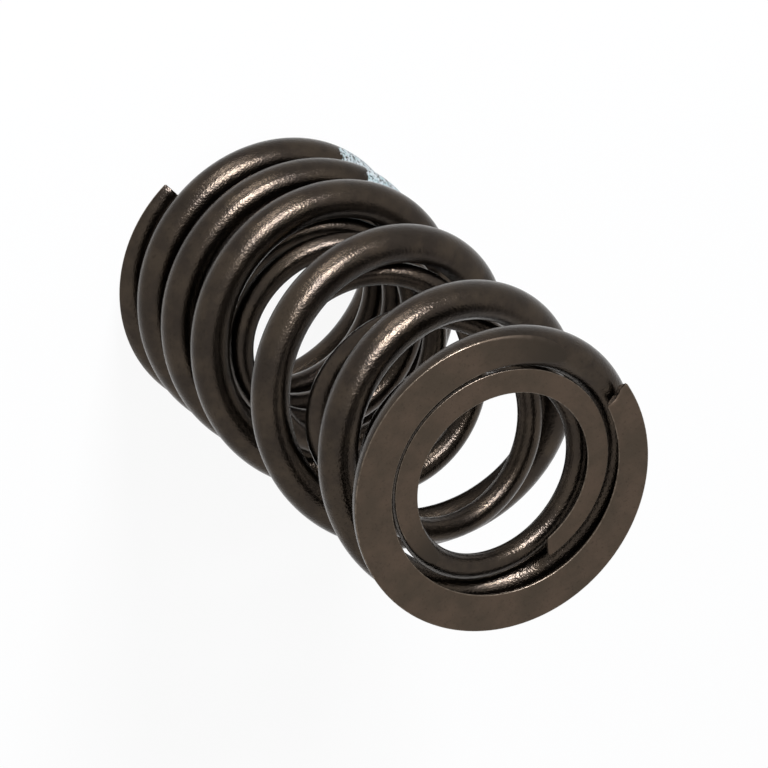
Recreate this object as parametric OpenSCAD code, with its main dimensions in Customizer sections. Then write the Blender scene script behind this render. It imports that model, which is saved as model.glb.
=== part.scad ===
// Engine valve spring: an outer spring with a smaller one inside it, wound the other way.
// Both are round wire with open turns above, close turns below and ground ends. Sizes are millimetres.
// The pair stands on the outer spring's lower ground face, at z = 0, with the axis along Z.

/* [Outer spring] */
// Outside diameter of the outer spring
outer_diameter = 38; // [37:0.5:42]
// Thickness of the outer spring's wire
outer_wire = 4.75; // [4:0.05:4.8]
// Turns of the outer spring from tip to tip
outer_turns = 6.72; // [6.4:0.02:7.4]
// Pitch of the outer spring's open turns
outer_open_pitch = 19.6; // [17:0.1:22]
// Pitch of the outer spring's close turns
outer_close_pitch = 7.5; // [6.5:0.05:9]
// Pitch of the outer spring along its upper ground face
outer_head_pitch = 2.95; // [2.5:0.05:3.4]
// Pitch where the outer spring's wire passes under its upper tip
outer_rest_pitch = 6.2; // [5:0.1:7]
// Pitch where the outer spring's wire steps down to its last turn
outer_step_pitch = 13.3; // [11:0.1:16]
// Pitch of the outer spring along its lower ground face
outer_foot_pitch = 4.5; // [3.8:0.1:4.8]
// Direction of the outer spring's upper tip, in degrees from +X
outer_tip_angle = 4.6; // [-180:0.1:180]
// How far the outer spring's first turn stands out at its upper tip
outer_head_spread = 0.1; // [0:0.02:0.3]
// How far it stands out where it is widest
outer_head_bulge = 0.5; // [0:0.05:0.6]
// How far it draws in just before it passes under the tip
outer_head_dip = 0.28; // [0:0.02:0.4]

/* [Inner spring] */
// Thickness of the inner spring's wire
inner_wire = 3.05; // [2.8:0.05:3.3]
// Turns of the inner spring from tip to tip
inner_turns = 7.65; // [7.3:0.01:7.9]
// Pitch of the inner spring's open turns
inner_open_pitch = 15.2; // [14:0.1:15.6]
// Pitch of the inner spring's close turns
inner_close_pitch = 5.55; // [5:0.05:6]
// Pitch of the inner spring along its upper ground face
inner_head_pitch = 2.05; // [1.8:0.05:2.4]
// Pitch where the inner spring's wire passes under its upper tip
inner_rest_pitch = 2.9; // [2.6:0.1:3.4]
// Pitch of the inner spring along its lower ground face
inner_foot_pitch = 3.3; // [3:0.1:4]
// Direction of the inner spring's upper tip, in degrees from +X
inner_tip_angle = -88; // [-180:1:180]
// How far the inner spring's first turn is out of round, to each side
inner_head_oval = 0.33; // [0:0.01:0.4]

/* [Turns] */
// Turns that the outer spring's upper ground face keeps its pitch
outer_head_turns = 0.65; // [0.5:0.05:0.7]
// Turn where the outer spring's open turns start
outer_open_start = 1.48; // [1.4:0.01:1.6]
// Turn where the outer spring's open turns end
outer_open_end = 3.12; // [2.9:0.01:3.4]
// Turn where the outer spring's close turns start
outer_close_start = 4.13; // [3.8:0.01:4.3]
// Turns that the inner spring's upper ground face keeps its pitch
inner_head_turns = 0.63; // [0.5:0.01:0.7]
// Turn where the inner spring's open turns start
inner_open_start = 1.53; // [1.4:0.01:1.7]
// Turn where the inner spring's open turns end
inner_open_end = 3.08; // [2.9:0.01:3.3]
// Turn where the inner spring's close turns start
inner_close_start = 4.7; // [4.4:0.01:4.8]

/* [Fit] */
// Gap all round between the inner spring and the outer spring's bore
nest_gap = 0.47; // [0.42:0.01:0.7]
// How far the inner spring stands off the outer spring's axis, within that gap
nest_shift = 0.22; // [0:0.01:0.35]
// Direction in which it stands off, in degrees from +X
nest_shift_angle = 71; // [-180:1:180]
// How far the inner spring's upper face lies below the outer spring's
nest_drop = 0.8; // [0:0.1:2]
// Gap that the outer spring's upper tip keeps to the turn below it
tip_gap = 0.05; // [0.05:0.05:0.3]
// Share of the wire's thickness that is left at a ground tip
tip_share = 0.2; // [0.2:0.01:0.3]

/* [Hidden] */
// Flat steps along a turn and flat sides around the wire
outer_steps = 36;
outer_sides = 14;
inner_steps = 30;
inner_sides = 10;
// Turns where each wire is steepest as it runs down to pass under its tip, and where it passes under
outer_drop_turn = 0.97;
outer_rest_turn = 1.15;
inner_drop_turn = 0.88;
inner_rest_turn = 1.1;
// Turns up to which the outer spring's first turn keeps its spread, and where it bulges, dips and is even
outer_spread_turn = 0.3;
outer_bulge_turn = 0.58;
outer_dip_turn = 0.95;
outer_even_turn = 1.4;
// Turns from each narrow place of the inner spring's first turn to the wide place after it
inner_oval_step = 0.24;
// Turns before the lower tip where the outer spring's wire starts its step, is steepest, and lies flat
outer_step_start = 0.95;
outer_step_middle = 0.7;
outer_foot_turns = 0.45;
// Turns before the lower tip where the inner spring's wire starts to close up, and lies flat
inner_step_start = 0.55;
inner_foot_turns = 0.35;
// Radius of each wire's centre line
outer_radius = (outer_diameter - outer_wire) / 2;
inner_radius = outer_diameter / 2 - outer_wire - nest_gap - inner_wire / 2;
// Turn numbers, counted from the upper tip, and the pitch at each of them
outer_knots = [
    0,
    outer_head_turns,
    outer_drop_turn,
    outer_rest_turn,
    outer_open_start,
    outer_open_end,
    outer_close_start,
    outer_turns - outer_step_start,
    outer_turns - outer_step_middle,
    outer_turns - outer_foot_turns,
    outer_turns
];
// Drop over the first turn without the steep stretch, and what each millimetre of its pitch adds
level_drop = wire_drop(1, outer_knots, outer_pitches_for(0));
unit_drop = wire_drop(1, outer_knots, outer_pitches_for(1)) - level_drop;
// Steepest pitch before the upper tip, so that the wire passes under it with the tip gap
outer_drop_pitch = (outer_wire + tip_gap - level_drop) / unit_drop;
outer_pitches = outer_pitches_for(outer_drop_pitch);
inner_knots = [
    0,
    inner_head_turns,
    inner_drop_turn,
    inner_rest_turn,
    inner_open_start,
    inner_open_end,
    inner_close_start,
    inner_turns - inner_step_start,
    inner_turns - inner_foot_turns,
    inner_turns
];
inner_pitches = [
    inner_head_pitch,
    inner_head_pitch,
    inner_open_pitch,
    inner_rest_pitch,
    inner_open_pitch,
    inner_open_pitch,
    inner_close_pitch,
    inner_close_pitch,
    inner_foot_pitch,
    inner_foot_pitch
];
// Turn numbers, and how far the wire stands out from its even radius at each of them
outer_round_knots = [0, outer_spread_turn, outer_bulge_turn, outer_dip_turn, outer_even_turn];
outer_rounds = [outer_head_spread, outer_head_spread, outer_head_bulge, -outer_head_dip, 0];
inner_round_knots = [for (i = [0 : 4]) i * inner_oval_step];
inner_rounds = [-inner_head_oval, inner_head_oval, -inner_head_oval, inner_head_oval, 0];
outer_length = spring_length(outer_wire, outer_knots, outer_pitches);
inner_top = outer_length - nest_drop;

// Pitches of the outer spring, with a given one at the steep stretch before its upper tip
function outer_pitches_for(drop_pitch) = [
    outer_head_pitch,
    outer_head_pitch,
    drop_pitch,
    outer_rest_pitch,
    outer_open_pitch,
    outer_open_pitch,
    outer_close_pitch,
    outer_close_pitch,
    outer_step_pitch,
    outer_foot_pitch,
    outer_foot_pitch
];

// Sum of a list of numbers
function total(list) = list * [for (value = list) 1];

// Drop of the wire along stretch i up to turn t. Its pitch changes evenly from one knot to the next.
function stretch_drop(t, i, knots, pitches) =
    let (
        width = knots[i + 1] - knots[i],
        run = min(max(t - knots[i], 0), width)
    )
    pitches[i] * run + (pitches[i + 1] - pitches[i]) * run * run / (2 * width);

// Drop of the wire from its upper tip to turn t
function wire_drop(t, knots, pitches) =
    total([for (i = [0 : len(knots) - 2]) stretch_drop(t, i, knots, pitches)]);

// Pitch at turn t
function pitch_at(t, knots, pitches) =
    lookup(t, [for (i = [0 : len(knots) - 1]) [knots[i], pitches[i]]]);

// Value at turn t, which changes smoothly from one knot's value to the next
function eased(t, knots, values) =
    let (
        place = lookup(t, [for (i = [0 : len(knots) - 1]) [knots[i], i]]),
        i = min(floor(place), len(knots) - 2),
        share = (1 - cos(180 * (place - i))) / 2
    )
    values[i] + (values[i + 1] - values[i]) * share;

// How far a wire's centre line runs out through a ground face at its tip
function tip_overrun(wire) = wire * (0.5 - tip_share);

// Length between the two ground faces
function spring_length(wire, knots, pitches) =
    wire_drop(knots[len(knots) - 1], knots, pitches) - 2 * tip_overrun(wire);

// Corners of the wire's section at turn t. Near an end, two of them lie on the ground face.
function section(t, top, even_radius, wire, start, hand, sides, knots, pitches, round_knots, rounds) =
    let (
        turn = start + hand * 360 * t,
        radius = even_radius + eased(t, round_knots, rounds),
        slope = atan(pitch_at(t, knots, pitches) / (2 * PI * radius)),
        height = top + tip_overrun(wire) - wire_drop(t, knots, pitches),
        upper_half = t < knots[len(knots) - 1] / 2,
        face = upper_half ? top - height : height - top + spring_length(wire, knots, pitches),
        cut = max(acos(min(1, face / (wire / 2 * cos(slope)))), 180 / sides),
        pole = upper_half ? 90 : 270,
        first = upper_half ? 0 : sides / 2
    )
    [
        for (k = [0 : sides - 1])
            let (
                angle = pole + cut + (360 - 2 * cut) * ((k + first) % sides) / (sides - 1),
                out = radius + wire / 2 * cos(angle),
                along = hand * wire / 2 * sin(angle) * sin(slope),
                up = wire / 2 * sin(angle) * cos(slope)
            )
            [
                out * cos(turn) - along * sin(turn),
                out * sin(turn) + along * cos(turn),
                height + up
            ]
    ];

// The two triangles between corners k and k + 1 of the sections i and i + 1
function patch(i, k, sides) =
    let (
        a = i * sides + k,
        b = i * sides + (k + 1) % sides,
        c = b + sides,
        d = a + sides
    )
    [[a, b, c], [a, c, d]];

// The triangles of the skin and of the two flat tips
function skin(count, sides) = concat(
    [for (i = [0 : count - 1]) for (k = [0 : sides - 1]) each patch(i, k, sides)],
    [for (k = [1 : sides - 2]) [0, k + 1, k]],
    [for (k = [1 : sides - 2]) [count * sides, count * sides + k, count * sides + k + 1]]
);

// Round wire wound down from its upper tip. Seen from above, hand 1 runs anticlockwise and -1 clockwise.
module spring(top, radius, wire, start, hand, steps, sides, knots, pitches, round_knots, rounds) {
    turns = knots[len(knots) - 1];
    count = ceil(turns * steps);
    corners = [
        for (i = [0 : count])
            each section(
                turns * i / count, top, radius, wire, start, hand,
                sides, knots, pitches, round_knots, rounds
            )
    ];
    triangles = skin(count, sides);
    faces = hand > 0 ? triangles : [for (corner = triangles) [corner[2], corner[1], corner[0]]];
    polyhedron(points = corners, faces = faces, convexity = 10);
}

module outer_spring() {
    color("dimgray")
        spring(
            outer_length, outer_radius, outer_wire, outer_tip_angle, -1,
            outer_steps, outer_sides, outer_knots, outer_pitches, outer_round_knots, outer_rounds
        );
}

module inner_spring() {
    color("gray")
        translate([nest_shift * cos(nest_shift_angle), nest_shift * sin(nest_shift_angle), 0])
            spring(
                inner_top, inner_radius, inner_wire, inner_tip_angle, 1,
                inner_steps, inner_sides, inner_knots, inner_pitches, inner_round_knots, inner_rounds
            );
}

outer_spring();
inner_spring();
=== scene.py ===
"""The looks of the engine valve spring: two ground and shot-peened springs, a paint mark, the camera and the light."""

import math

import bpy
import numpy as np
from mathutils import Matrix, Vector


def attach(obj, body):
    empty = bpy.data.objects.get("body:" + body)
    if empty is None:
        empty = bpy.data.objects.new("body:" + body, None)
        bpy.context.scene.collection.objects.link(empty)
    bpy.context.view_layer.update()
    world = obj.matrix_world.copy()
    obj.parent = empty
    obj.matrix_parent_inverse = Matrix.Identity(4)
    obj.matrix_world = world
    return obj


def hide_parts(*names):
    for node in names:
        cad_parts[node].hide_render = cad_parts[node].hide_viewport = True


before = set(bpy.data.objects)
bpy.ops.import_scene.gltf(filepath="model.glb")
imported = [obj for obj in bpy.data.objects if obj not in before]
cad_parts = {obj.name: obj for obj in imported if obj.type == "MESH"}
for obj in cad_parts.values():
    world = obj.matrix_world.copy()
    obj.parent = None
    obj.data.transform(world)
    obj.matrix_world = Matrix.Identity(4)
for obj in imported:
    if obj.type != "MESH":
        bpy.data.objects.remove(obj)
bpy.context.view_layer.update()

MM = 0.001

# The springs' sizes, as in the part's source, in millimetres and turns from the upper tip
OUTER_DIAMETER = 38.0
OUTER_WIRE = 4.75
OUTER_TURNS = 6.72
OUTER_TIP_ANGLE = 4.6
INNER_WIRE = 3.05
INNER_TURNS = 7.65
INNER_TIP_ANGLE = -88.0
NEST_GAP = 0.47
NEST_SHIFT = 0.22
NEST_SHIFT_ANGLE = 71.0
NEST_DROP = 0.8
TIP_GAP = 0.05
TIP_SHARE = 0.2
OUTER_RADIUS = (OUTER_DIAMETER - OUTER_WIRE) / 2
INNER_RADIUS = OUTER_DIAMETER / 2 - OUTER_WIRE - NEST_GAP - INNER_WIRE / 2
OUTER_KNOTS = [
    0, 0.65, 0.97, 1.15, 1.48, 3.12, 4.13,
    OUTER_TURNS - 0.95, OUTER_TURNS - 0.7, OUTER_TURNS - 0.45, OUTER_TURNS,
]
OUTER_PITCHES = [2.95, 2.95, 0, 6.2, 19.6, 19.6, 7.5, 7.5, 13.3, 4.5, 4.5]
OUTER_DROP_KNOT = 2
INNER_KNOTS = [0, 0.63, 0.88, 1.1, 1.53, 3.08, 4.7, INNER_TURNS - 0.55, INNER_TURNS - 0.35, INNER_TURNS]
INNER_PITCHES = [2.05, 2.05, 15.2, 2.9, 15.2, 15.2, 5.55, 5.55, 3.3, 3.3]
# How far each first turn stands out from its even radius, and at which turns
OUTER_ROUND_KNOTS = [0, 0.3, 0.58, 0.95, 1.4]
OUTER_ROUNDS = [0.1, 0.1, 0.5, -0.28, 0]
INNER_ROUND_KNOTS = [0, 0.24, 0.48, 0.72, 0.96]
INNER_ROUNDS = [-0.33, 0.33, -0.33, 0.33, 0]

# Intervals of half a section: across the ground flat, round its edge, and round the rest of the wire
FLAT_STEPS = 6
EDGE_STEPS = 4
ARC_STEPS = 20
HALF = FLAT_STEPS + EDGE_STEPS + ARC_STEPS
AROUND = 2 * HALF
FLAT_SHARES = np.array([0, 0.25, 0.5, 0.72, 0.88, 0.97])

PEENED, GROUND, EDGE, CUT = 0, 1, 2, 3


class Turns:
    """How far a wire has dropped at each turn. Its pitch changes evenly from one knot to the next."""

    def __init__(self, knots, pitches, wire, radius, round_knots, rounds):
        self.knots = np.array(knots, float)
        self.pitches = np.array(pitches, float)
        self.even = radius
        self.round_knots = round_knots
        self.rounds = rounds
        self.overrun = wire * (0.5 - TIP_SHARE)
        self.settle()

    def settle(self):
        steps = 0.5 * (self.pitches[1:] + self.pitches[:-1]) * np.diff(self.knots)
        self.drops = np.concatenate([[0], np.cumsum(steps)])
        self.length = self.drops[-1] - 2 * self.overrun

    def close_first_turn(self, knot, drop):
        """Sets the pitch at one knot so that the first turn drops by a given height."""
        level = float(self.drop(1.0))
        self.pitches[knot] = 1.0
        self.settle()
        self.pitches[knot] = (drop - level) / (float(self.drop(1.0)) - level)
        self.settle()

    def radius(self, t):
        """The centre line's radius, which changes smoothly from one knot to the next."""
        place = float(np.interp(t, self.round_knots, range(len(self.round_knots))))
        i = min(int(place), len(self.round_knots) - 2)
        share = (1 - math.cos(math.pi * (place - i))) / 2
        return self.even + self.rounds[i] + (self.rounds[i + 1] - self.rounds[i]) * share

    def drop(self, t):
        i = np.clip(np.searchsorted(self.knots, t, side="right") - 1, 0, len(self.knots) - 2)
        run = t - self.knots[i]
        width = self.knots[i + 1] - self.knots[i]
        rise = self.pitches[i + 1] - self.pitches[i]
        return self.drops[i] + self.pitches[i] * run + rise * run * run / (2 * width)

    def pitch(self, t):
        return np.interp(t, self.knots, self.pitches)


def half_section(r, clip, edge):
    """Half a wire section from the middle of its ground side round to the far side, as distances (sideways, towards the ground side)."""
    zone = FLAT_STEPS + EDGE_STEPS
    if clip >= 1:
        full = math.pi * zone / HALF
        opened = min(full, math.acos(max(-1.0, 2 - clip)))
        angles = np.concatenate([
            np.linspace(0, opened, zone, endpoint=False),
            np.linspace(opened, math.pi, ARC_STEPS + 1),
        ])
        return np.stack([r * np.sin(angles), r * np.cos(angles)], 1)
    plane = r * clip
    middle = math.sqrt(max((r - edge) ** 2 - (plane - edge) ** 2, 1e-12))
    turn = math.atan2(middle, plane - edge)
    flat = np.stack([middle * FLAT_SHARES, np.full(FLAT_STEPS, plane)], 1)
    theta = np.linspace(0, turn, EDGE_STEPS, endpoint=False)
    rim = np.stack([middle + edge * np.sin(theta), plane - edge + edge * np.cos(theta)], 1)
    rest = np.linspace(turn, math.pi, ARC_STEPS + 1)
    return np.concatenate([flat, rim, np.stack([r * np.sin(rest), r * np.cos(rest)], 1)])


def fade_of(clip):
    """How far a ground flat has faded out: 0 where it is wide, 1 at its end."""
    share = min(1.0, max(0.0, (clip - 0.45) / 0.5))
    return share * share * (3 - 2 * share)


def ring(t, top, wire, start, hand, turns, edge):
    """The corners of the section at turn t, and how its ground flat is cut (1 or more: not at all)."""
    r = wire / 2
    radius = turns.radius(t)
    turn = math.radians(start + hand * 360 * t)
    slope = math.atan(float(turns.pitch(t)) / (2 * math.pi * radius))
    height = top + turns.overrun - float(turns.drop(t))
    upper = t < turns.knots[-1] / 2
    face = top - height if upper else height - top + turns.length
    clip = face / (r * math.cos(slope))
    half = half_section(r, clip, edge + wire * 0.2 * fade_of(clip))
    loop = np.concatenate([half, half[-2:0:-1] * [-1, 1]])
    if not upper:
        loop = -np.roll(loop, HALF, axis=0)
    side, up = loop[:, 0], loop[:, 1]
    out = radius + side
    along = hand * up * math.sin(slope)
    points = np.stack([
        out * math.cos(turn) - along * math.sin(turn),
        out * math.sin(turn) + along * math.cos(turn),
        height + up * math.cos(slope),
    ], 1)
    return points, clip


def bitten(points, share, bite, wire, hand, turns):
    """The corners moved back along the wire, most on its inner side, as the cropping tool left the tip."""
    side = (np.hypot(points[:, 0], points[:, 1]) - turns.radius(0.0)) / (wire / 2)
    turn = hand * np.interp(side, BITE_SIDES, bite) * share / turns.even
    cosine, sine = np.cos(turn), np.sin(turn)
    return np.stack([
        points[:, 0] * cosine - points[:, 1] * sine,
        points[:, 0] * sine + points[:, 1] * cosine,
        points[:, 2],
    ], 1)


def spring_mesh(name, top, wire, start, hand, turns, steps, edge, centre, seed, bite):
    """A spring's fine mesh, with a soft edge round each ground face and slightly torn tips."""
    rng = np.random.RandomState(seed)
    last = turns.knots[-1]
    count = int(math.ceil(last * steps))
    ts = np.linspace(0, last, count + 1)
    lip = edge * 1.2 / (2 * math.pi * turns.even)
    ts[0] = lip
    ts[-1] = last - lip
    rings, clips = [], []
    for t in ts:
        points, clip = ring(t, top, wire, start, hand, turns, edge)
        rings.append(points)
        clips.append(clip)
    ends = []
    for t in (0.0, last):
        points, clip = ring(t, top, wire, start, hand, turns, edge)
        middle = points.mean(0)
        away = points - middle
        reach = np.linalg.norm(away, axis=1)[:, None]
        points = middle + away * (1 - edge / np.maximum(reach, edge * 3))
        ends.append((points, middle))
    run = np.array([-math.sin(math.radians(start)), math.cos(math.radians(start)), 0]) * hand
    tear = rng.uniform(-0.5, 1.0, AROUND)
    ends[0] = (ends[0][0] + run * (tear * wire * 0.022)[:, None], ends[0][1])
    rings[0] = rings[0] + run * (rng.uniform(-0.4, 1.0, AROUND) * wire * 0.014)[:, None]
    rings = [ends[0][0]] + rings + [ends[1][0]]
    clips = [clips[0]] + clips + [clips[-1]]
    ends[0] = (ends[0][0], bitten(ends[0][1][None], 1.0, bite, wire, hand, turns)[0])
    for i in range(count):
        away = 2 * math.pi * turns.even * (ts[i - 1] if i else 0.0)
        if away > BITE_REACH:
            break
        rings[i] = bitten(rings[i], 1 - away / BITE_REACH, bite, wire, hand, turns)
    verts = np.concatenate(rings + [ends[0][1][None], ends[1][1][None]])
    verts = (verts + np.array([centre[0], centre[1], 0])) * MM
    faces, slots = [], []
    rows = len(rings)
    for i in range(rows - 1):
        cap = i == 0 or i == rows - 2
        cut = clips[i] < 1 and clips[i + 1] < 1
        upper = i < rows / 2
        for j in range(AROUND):
            k = (j + 1) % AROUND
            a, b = i * AROUND + j, i * AROUND + k
            c, d = b + AROUND, a + AROUND
            faces.append((a, b, c, d) if hand < 0 else (d, c, b, a))
            from_pole = j if upper else (j + HALF) % AROUND
            near = min(from_pole, AROUND - 1 - from_pole)
            if cap:
                slots.append(GROUND if near < FLAT_STEPS + EDGE_STEPS else PEENED)
            elif cut and near < FLAT_STEPS:
                slots.append(GROUND)
            elif cut and near < FLAT_STEPS + EDGE_STEPS:
                slots.append(EDGE if clips[i] < 0.55 else GROUND)
            else:
                slots.append(PEENED)
    for row, centre_vertex in ((0, rows * AROUND), (rows - 1, rows * AROUND + 1)):
        for j in range(AROUND):
            a = row * AROUND + j
            b = row * AROUND + (j + 1) % AROUND
            forward = (hand < 0) == (row == 0)
            faces.append((centre_vertex, b, a) if forward else (centre_vertex, a, b))
            slots.append(CUT)
    mesh = bpy.data.meshes.new(name)
    mesh.from_pydata([tuple(v) for v in verts], [], faces)
    mesh.polygons.foreach_set("material_index", slots)
    fades = [fade_of(clip) for clip in clips for _ in range(AROUND)] + [0.0, 0.0]
    mesh.attributes.new("fade", "FLOAT", "POINT").data.foreach_set("value", fades)
    mesh.polygons.foreach_set("use_smooth", [True] * len(faces))
    mesh.update()
    mesh.set_sharp_from_angle(angle=math.radians(38))
    thing = bpy.data.objects.new(name, mesh)
    bpy.context.scene.collection.objects.link(thing)
    return thing


class Nodes:
    """A short way to write a material's nodes."""

    def __init__(self, name):
        self.material = bpy.data.materials.new(name)
        self.material.use_nodes = True
        self.tree = self.material.node_tree
        self.tree.nodes.clear()
        self.output = self.tree.nodes.new("ShaderNodeOutputMaterial")
        self.place = self.tree.nodes.new("ShaderNodeTexCoord").outputs["Object"]

    def link(self, source, target):
        if isinstance(source, (int, float)):
            target.default_value = source
        elif isinstance(source, tuple):
            target.default_value = source
        else:
            self.tree.links.new(source, target)

    def math(self, operation, a, b=0.0, c=None, clamp=False):
        node = self.tree.nodes.new("ShaderNodeMath")
        node.operation = operation
        node.use_clamp = clamp
        self.link(a, node.inputs[0])
        self.link(b, node.inputs[1])
        if c is not None:
            self.link(c, node.inputs[2])
        return node.outputs[0]

    def noise(self, scale, detail=2.0, roughness=0.5, place=None, distortion=0.0):
        node = self.tree.nodes.new("ShaderNodeTexNoise")
        node.inputs["Scale"].default_value = scale
        node.inputs["Detail"].default_value = detail
        node.inputs["Roughness"].default_value = roughness
        node.inputs["Distortion"].default_value = distortion
        self.link(place or self.place, node.inputs["Vector"])
        return node.outputs["Fac"]

    def cells(self, scale, smooth=0.6, place=None):
        node = self.tree.nodes.new("ShaderNodeTexVoronoi")
        node.feature = "SMOOTH_F1"
        node.inputs["Scale"].default_value = scale
        node.inputs["Smoothness"].default_value = smooth
        self.link(place or self.place, node.inputs["Vector"])
        return node.outputs["Distance"]

    def spread(self, value, low, high, out_low=0.0, out_high=1.0):
        node = self.tree.nodes.new("ShaderNodeMapRange")
        node.interpolation_type = "SMOOTHSTEP"
        self.link(value, node.inputs["Value"])
        node.inputs["From Min"].default_value = low
        node.inputs["From Max"].default_value = high
        node.inputs["To Min"].default_value = out_low
        node.inputs["To Max"].default_value = out_high
        return node.outputs["Result"]

    def blend(self, share, first, second):
        node = self.tree.nodes.new("ShaderNodeMix")
        node.data_type = "RGBA"
        self.link(share, node.inputs["Factor"])
        self.link(first, node.inputs["A"])
        self.link(second, node.inputs["B"])
        return node.outputs["Result"]

    def painted(self, name):
        """A value stored at the mesh's corners."""
        node = self.tree.nodes.new("ShaderNodeAttribute")
        node.attribute_name = name
        return node.outputs["Fac"]

    def toward(self, degrees):
        """The distance from the axis along a direction."""
        node = self.tree.nodes.new("ShaderNodeVectorMath")
        node.operation = "DOT_PRODUCT"
        self.link(self.place, node.inputs[0])
        a = math.radians(degrees)
        node.inputs[1].default_value = (math.cos(a), math.sin(a), 0)
        return node.outputs["Value"]

    def height(self):
        node = self.tree.nodes.new("ShaderNodeSeparateXYZ")
        self.link(self.place, node.inputs[0])
        return node.outputs["Z"]

    def bump(self, height, distance, strength=1.0, normal=None):
        node = self.tree.nodes.new("ShaderNodeBump")
        node.inputs["Distance"].default_value = distance
        node.inputs["Strength"].default_value = strength
        self.link(height, node.inputs["Height"])
        if normal is not None:
            self.link(normal, node.inputs["Normal"])
        return node.outputs["Normal"]

    def steel(self, colour, roughness, metallic, normal=None):
        node = self.tree.nodes.new("ShaderNodeBsdfPrincipled")
        self.link(colour, node.inputs["Base Color"])
        self.link(roughness, node.inputs["Roughness"])
        self.link(metallic, node.inputs["Metallic"])
        if normal is not None:
            self.link(normal, node.inputs["Normal"])
        self.tree.links.new(node.outputs[0], self.output.inputs["Surface"])
        return node


def colour(red, green, blue):
    """A colour given as the screen shows it, from 0 to 255."""
    parts = []
    for value in (red, green, blue):
        s = value / 255
        parts.append(s / 12.92 if s <= 0.04045 else ((s + 0.055) / 1.055) ** 2.4)
    return (*parts, 1.0)


def peened_steel(name, paint):
    """Dark oxidised spring steel with the pebbled grain of shot peening, and the paint mark on the outer spring."""
    n = Nodes(name)
    cloud = n.spread(n.noise(260, 4, 0.6), 0.35, 0.68)
    warm = n.blend(cloud, colour(53, 47, 42), colour(66, 58, 50))
    specks = n.spread(n.noise(2600, 3, 0.65), 0.52, 0.74)
    base = n.blend(n.math("MULTIPLY", specks, 0.5), warm, colour(38, 34, 30))
    dimples = n.cells(4000)
    fine = n.noise(7200, 3, 0.6)
    grain = n.math("ADD", n.math("MULTIPLY", dimples, 0.75), n.math("MULTIPLY", fine, 0.5))
    roughness = n.math("ADD", n.spread(n.noise(900, 3, 0.6), 0.3, 0.7, -0.03, 0.04), 0.225)
    metallic = 1.0
    if paint:
        away = n.toward(PAINT_ANGLE)
        across = n.toward(PAINT_ANGLE + 90)
        ragged = n.math("MULTIPLY", n.math("SUBTRACT", n.noise(900, 4, 0.7), 0.5), 0.0022)
        inside = n.spread(n.math("ABSOLUTE", n.math("ADD", across, ragged)), PAINT_HALF * MM, (PAINT_HALF - 0.25) * MM)
        outside = n.spread(away, (OUTER_RADIUS - 0.9) * MM, (OUTER_RADIUS - 0.2) * MM)
        low = n.spread(n.height(), PAINT_LOW * MM, (PAINT_LOW + 0.6) * MM)
        high = n.spread(n.height(), PAINT_HIGH * MM, (PAINT_HIGH - 0.6) * MM)
        worn = n.spread(n.noise(2300, 5, 0.72), 0.37, 0.53)
        mark = n.math("MULTIPLY", n.math("MULTIPLY", inside, outside), n.math("MULTIPLY", low, high))
        mark = n.math("MULTIPLY", mark, worn)
        pale = n.blend(n.spread(n.noise(1500, 3, 0.6), 0.4, 0.62), colour(158, 164, 166), colour(132, 150, 151))
        base = n.blend(mark, base, pale)
        metallic = n.math("SUBTRACT", 1.0, mark)
        roughness = n.math("ADD", roughness, n.math("MULTIPLY", mark, 0.2))
    normal = n.bump(grain, 0.000038, 1.0)
    n.steel(base, roughness, metallic, normal)
    return n.material


def ground_steel(name):
    """A ground end: flat, matt and brown, with faint blotches and grinding marks."""
    n = Nodes(name)
    blotch = n.spread(n.noise(220, 4, 0.6), 0.34, 0.68)
    base = n.blend(blotch, colour(70, 61, 52), colour(80, 68, 58))
    specks = n.spread(n.noise(3000, 3, 0.7), 0.55, 0.72)
    base = n.blend(n.math("MULTIPLY", specks, 0.5), base, colour(52, 45, 39))
    fade = n.painted("fade")
    base = n.blend(fade, base, colour(56, 50, 44))
    stretch = n.tree.nodes.new("ShaderNodeMapping")
    stretch.inputs["Rotation"].default_value = (0, 0, math.radians(24))
    stretch.inputs["Scale"].default_value = (0.06, 1, 1)
    n.link(n.place, stretch.inputs["Vector"])
    marks = n.noise(5200, 2, 0.6, stretch.outputs[0])
    roughness = n.math("ADD", n.spread(n.noise(1200, 3, 0.6), 0.3, 0.7, -0.05, 0.06), 0.52)
    roughness = n.math("SUBTRACT", roughness, n.math("MULTIPLY", fade, 0.2))
    grain = n.math("ADD", n.math("MULTIPLY", marks, 0.6), n.math("MULTIPLY", n.noise(6500, 3, 0.7), 0.4))
    n.steel(base, roughness, 1.0, n.bump(grain, 0.000008, 0.8))
    return n.material


def painted_edge_highlight(name):
    """The soft edge round a ground face, its colour painted lighter as a highlight where the edge catches the light."""
    n = Nodes(name)
    edge_glint = n.spread(n.noise(1700, 4, 0.7), 0.35, 0.65)
    # Painted highlight: the edge's colour is lighter than the steel, in patches, to stand for the light the edge
    # catches
    base = n.blend(edge_glint, colour(76, 67, 58), colour(108, 97, 86))
    n.steel(base, n.math("ADD", n.math("MULTIPLY", edge_glint, -0.08), 0.36), 1.0, n.bump(n.noise(3800, 3, 0.7), 0.00003, 0.8))
    return n.material


def cut_end(name):
    """The cropped tip of the wire: dark, torn and rough."""
    n = Nodes(name)
    tone = n.spread(n.noise(1400, 4, 0.7), 0.35, 0.65)
    base = n.blend(tone, colour(30, 26, 23), colour(74, 64, 55))
    n.steel(base, 0.6, 1.0, n.bump(n.noise(2600, 4, 0.75), 0.00012, 1.0))
    return n.material


# Where across the wire an upper tip is cut back, from its inner side to its outer side, and over what length
BITE_SIDES = (-0.8, -0.06, 0.4)
BITE_REACH = 5.0
PAINT_ANGLE = 17.0
PAINT_HALF = 5.2
PAINT_LOW = 1.5
PAINT_HIGH = 15.6

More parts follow.
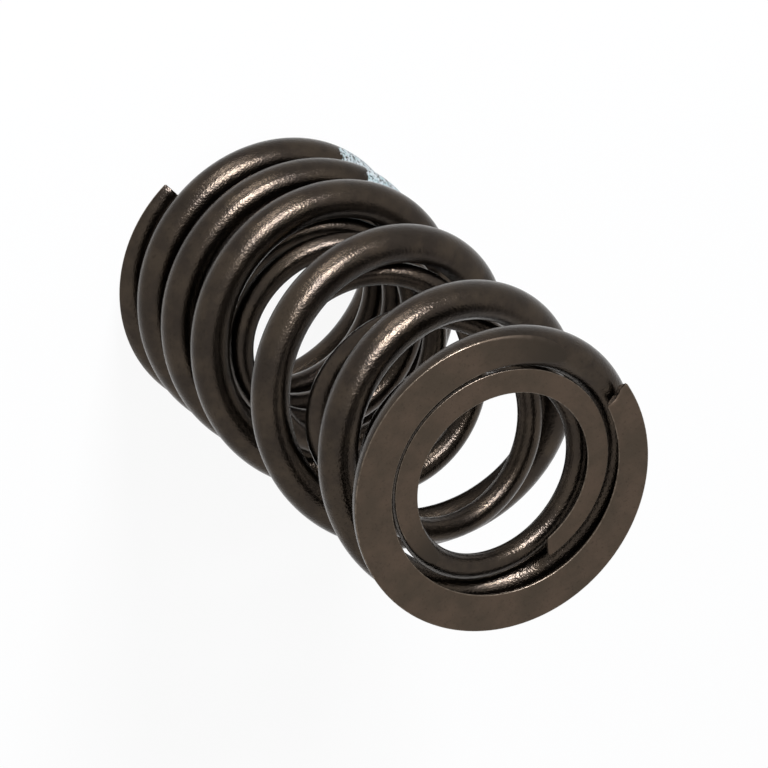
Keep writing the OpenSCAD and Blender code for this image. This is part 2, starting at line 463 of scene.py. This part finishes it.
outer_turns = Turns(OUTER_KNOTS, OUTER_PITCHES, OUTER_WIRE, OUTER_RADIUS, OUTER_ROUND_KNOTS, OUTER_ROUNDS)
outer_turns.close_first_turn(OUTER_DROP_KNOT, OUTER_WIRE + TIP_GAP)
inner_turns = Turns(INNER_KNOTS, INNER_PITCHES, INNER_WIRE, INNER_RADIUS, INNER_ROUND_KNOTS, INNER_ROUNDS)
nest = math.radians(NEST_SHIFT_ANGLE)
inner_centre = (NEST_SHIFT * math.cos(nest), NEST_SHIFT * math.sin(nest))
outer = spring_mesh(
    "outer_spring_finish", outer_turns.length, OUTER_WIRE, OUTER_TIP_ANGLE, -1,
    outer_turns, 150, 0.13, (0.0, 0.0), 5, (1.03, 0.72, 0.0),
)
inner = spring_mesh(
    "inner_spring_finish", outer_turns.length - NEST_DROP, INNER_WIRE, INNER_TIP_ANGLE, 1,
    inner_turns, 110, 0.11, inner_centre, 9, (0.95, 0.35, 0.0),
)
ground = ground_steel("ground_end")
# The soft edges round the ground faces carry a painted highlight in their colour
edge = painted_edge_highlight("painted_edge_highlight")
cut = cut_end("cropped_tip")
for thing, node, paint in ((outer, "outer_spring", True), (inner, "inner_spring", False)):
    thing.data.materials.append(peened_steel(node + "_peened", paint))
    thing.data.materials.append(ground)
    thing.data.materials.append(edge)
    thing.data.materials.append(cut)
    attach(thing, "root")
    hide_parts(node)


# The floor: white to the eye, with the object's soft shadow left on it
floor_mesh = bpy.data.meshes.new("floor")
reach = 1.2
floor_mesh.from_pydata(
    [(-reach, -reach, 0), (reach, -reach, 0), (reach, reach, 0), (-reach, reach, 0)], [], [(0, 1, 2, 3)]
)
floor = bpy.data.objects.new("floor", floor_mesh)
bpy.context.scene.collection.objects.link(floor)
f = Nodes("floor")
diffuse = f.tree.nodes.new("ShaderNodeBsdfDiffuse")
diffuse.inputs["Color"].default_value = (0.6, 0.6, 0.6, 1)
glow = f.tree.nodes.new("ShaderNodeEmission")
glow.inputs["Color"].default_value = (1, 1, 1, 1)
glow.inputs["Strength"].default_value = 1.0
path = f.tree.nodes.new("ShaderNodeLightPath")
seen = f.math("MAXIMUM", path.outputs["Is Camera Ray"], path.outputs["Is Glossy Ray"])
seen = f.math("MAXIMUM", seen, path.outputs["Is Transmission Ray"])
mix = f.tree.nodes.new("ShaderNodeMixShader")
f.link(f.math("MULTIPLY", seen, 0.93), mix.inputs["Fac"])
f.tree.links.new(diffuse.outputs[0], mix.inputs[1])
f.tree.links.new(glow.outputs[0], mix.inputs[2])
f.tree.links.new(mix.outputs[0], f.output.inputs["Surface"])
floor_mesh.materials.append(f.material)

# The surroundings: white to the eye and in reflections, softer as light
world = bpy.data.worlds.new("studio")
bpy.context.scene.world = world
world.use_nodes = True
w = world.node_tree
w.nodes.clear()
world_out = w.nodes.new("ShaderNodeOutputWorld")
lit = w.nodes.new("ShaderNodeBackground")
lit.inputs["Color"].default_value = (1, 1, 1, 1)
sky = w.nodes.new("ShaderNodeTexCoord")
toward_light = w.nodes.new("ShaderNodeVectorMath")
toward_light.operation = "DOT_PRODUCT"
toward_light.inputs[1].default_value = Vector((-0.15, 0.75, 0.6)).normalized()
w.links.new(sky.outputs["Generated"], toward_light.inputs[0])
strength = w.nodes.new("ShaderNodeMapRange")
strength.inputs["From Min"].default_value = -0.4
strength.inputs["From Max"].default_value = 1.0
strength.inputs["To Min"].default_value = 0.1
strength.inputs["To Max"].default_value = 0.7
w.links.new(toward_light.outputs["Value"], strength.inputs["Value"])
w.links.new(strength.outputs["Result"], lit.inputs["Strength"])
shown = w.nodes.new("ShaderNodeBackground")
shown.inputs["Color"].default_value = (1, 1, 1, 1)
shown.inputs["Strength"].default_value = 1.0
world_path = w.nodes.new("ShaderNodeLightPath")
world_mix = w.nodes.new("ShaderNodeMixShader")
mirrored = w.nodes.new("ShaderNodeMath")
mirrored.operation = "MAXIMUM"
w.links.new(world_path.outputs["Is Glossy Ray"], mirrored.inputs[0])
w.links.new(world_path.outputs["Is Transmission Ray"], mirrored.inputs[1])
plain = w.nodes.new("ShaderNodeMath")
plain.operation = "MAXIMUM"
w.links.new(world_path.outputs["Is Camera Ray"], plain.inputs[0])
w.links.new(mirrored.outputs[0], plain.inputs[1])
w.links.new(plain.outputs[0], world_mix.inputs["Fac"])
w.links.new(lit.outputs[0], world_mix.inputs[1])
w.links.new(shown.outputs[0], world_mix.inputs[2])
w.links.new(world_mix.outputs[0], world_out.inputs["Surface"])


def area_light(name, towards, distance, size, power, tint=(1, 1, 1)):
    """A square soft light that looks at the object from a direction."""
    data = bpy.data.lights.new(name, "AREA")
    data.shape = "SQUARE"
    data.size = size
    data.energy = power
    data.color = tint
    lamp = bpy.data.objects.new(name, data)
    middle = Vector((0, 0, 0.037))
    place = Vector(towards).normalized() * distance
    lamp.location = middle + place
    lamp.rotation_euler = place.to_track_quat("Z", "Y").to_euler()
    bpy.context.scene.collection.objects.link(lamp)
    return lamp


area_light("key", (0.37, 0.62, 0.69), 0.6, 0.14, 6.2, (0.94, 0.97, 1.04))
area_light("side", (0.33, 0.93, 0.1), 0.7, 0.16, 1.3)

# The camera, from a fit of both springs' outlines to the photograph
SCALE = 1.0326
camera_data = bpy.data.cameras.new("camera")
camera_data.sensor_width = 36.0
camera_data.lens = 335.0
camera_data.clip_start = 0.05
camera = bpy.data.objects.new("camera", camera_data)
right = Vector((0.808572, -0.412973, 0.419123))
down = Vector((-0.565031, -0.743711, 0.357259))
ahead = Vector((0.164168, -0.525687, -0.834687))
turned = Matrix((right, -down, -ahead)).transposed().to_4x4()
turned.translation = (Vector((-138.411, 441.242, 738.996)) * SCALE + Vector((0, 0, -0.15))) * MM
camera.matrix_world = turned
bpy.context.scene.collection.objects.link(camera)
bpy.context.scene.camera = camera

bpy.context.scene.view_settings.view_transform = "Standard"
